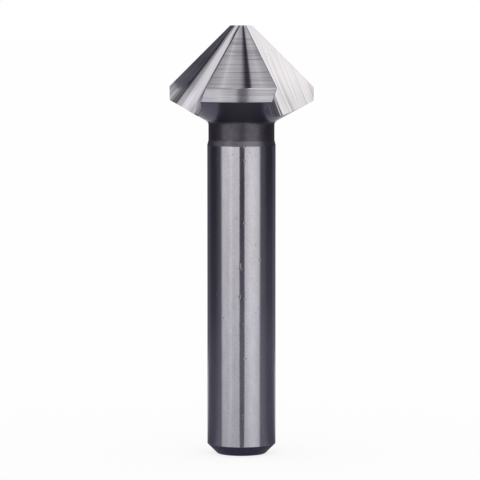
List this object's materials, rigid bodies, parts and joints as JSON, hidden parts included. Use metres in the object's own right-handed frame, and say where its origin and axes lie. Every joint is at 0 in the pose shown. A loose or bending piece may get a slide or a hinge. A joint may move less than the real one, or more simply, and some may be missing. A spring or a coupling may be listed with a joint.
{
  "type": "countersink bit",
  "caption": "Straight-shank countersink bit with a 90 degree cone cut into relieved teeth by tapering flutes, for chamfering the mouths of drilled holes.",
  "frame": {"origin": "centre of the flat end face of the shank, which the bit stands on", "axes": "+Z along the axis of the bit from the shank end to the cutting tip, -Y out through the middle of one tooth's land"},
  "size_m": [0.021, 0.0199, 0.0625],
  "materials": {
    "ground_steel": "ground high speed steel, bright"
  },
  "bodies": {
    "root": {"countersink_bit": "ground_steel"}
  },
  "joints": []
}
